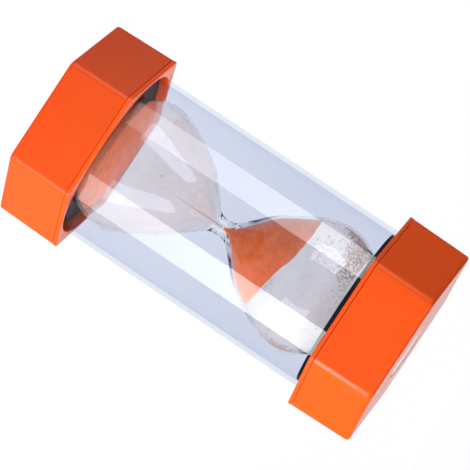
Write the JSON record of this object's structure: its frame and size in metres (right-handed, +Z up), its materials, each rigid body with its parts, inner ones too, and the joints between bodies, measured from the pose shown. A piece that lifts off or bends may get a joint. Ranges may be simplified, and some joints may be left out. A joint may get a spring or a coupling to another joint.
{
  "type": "hourglass",
  "caption": "Sand timer: two-bulb glass vessel with orange sand inside a clear plastic tube, closed at both ends by hexagonal orange plastic caps.",
  "frame": {"origin": "centre of the bottom cap's flat outer face", "axes": "+Z up along the tube, from the bottom cap to the top cap; corners of the hexagonal caps on +X and -X, a flat side facing -Y"},
  "size_m": [0.0618, 0.0542, 0.118],
  "materials": {
    "orange_plastic": "glossy moulded plastic",
    "clear_plastic": "clear, polished",
    "glass": "clear, blown",
    "black_plastic": "satin moulded plastic",
    "black_foam": "matt foam",
    "white_rubber": "matt",
    "sand": "fine dyed grains",
    "white_label": "blank, satin"
  },
  "bodies": {
    "root": {"bottom_cap_shell": "orange_plastic", "bottom_collar": "orange_plastic", "bottom_label": "white_label", "bottom_end_plug": "black_plastic", "bottom_foam_pad": "black_foam", "top_cap_shell": "orange_plastic", "top_collar": "orange_plastic", "top_label": "white_label", "top_end_plug": "black_plastic", "top_foam_pad": "black_foam", "clear_tube": "clear_plastic", "glass_vessel": "glass", "fill_stopper": "white_rubber", "upper_sand": "sand", "lower_sand": "sand", "sand_stream": "sand"}
  },
  "joints": []
}
